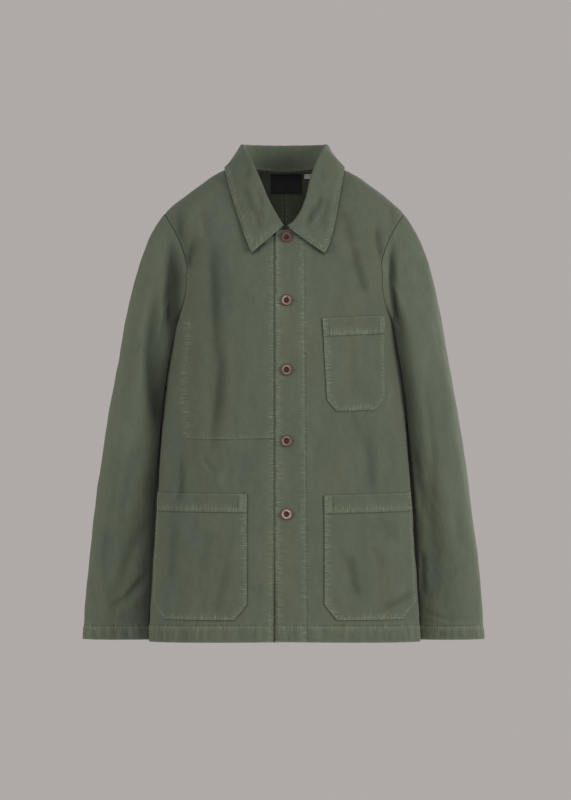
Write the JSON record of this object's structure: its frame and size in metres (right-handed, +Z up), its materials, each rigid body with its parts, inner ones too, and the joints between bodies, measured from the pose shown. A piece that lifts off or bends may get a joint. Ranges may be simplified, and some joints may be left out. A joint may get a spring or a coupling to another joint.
{
  "type": "chore jacket",
  "caption": "Hip-length chore jacket in worn, hollow form, buttoned, with a pointed turn-down collar, set-in sleeves and patch pockets.",
  "frame": {"origin": "middle of the neck opening, level with the back neck seam, where a hanger or a bust would hold it", "axes": "+Z up, the front faces -Y, +X is the wearer's left"},
  "size_m": [0.6355, 0.2668, 0.7805],
  "materials": {
    "cloth": "garment-dyed cotton canvas, sage green",
    "collar_cloth": "the same canvas, double",
    "pocket_cloth": "the same canvas",
    "button": "dusty red-brown, satin",
    "label": "woven black",
    "tab": "woven off-white"
  },
  "bodies": {
    "root": {"front_left": "cloth", "front_right": "cloth", "back_left": "cloth", "back_right": "cloth", "sleeve_left": "cloth", "sleeve_right": "cloth", "collar": "collar_cloth", "pocket_chest": "pocket_cloth", "pocket_left": "pocket_cloth", "pocket_right": "pocket_cloth", "neck_label": "label", "size_tab": "tab", "button_1": "button", "button_2": "button", "button_3": "button", "button_4": "button", "button_5": "button"}
  },
  "joints": []
}
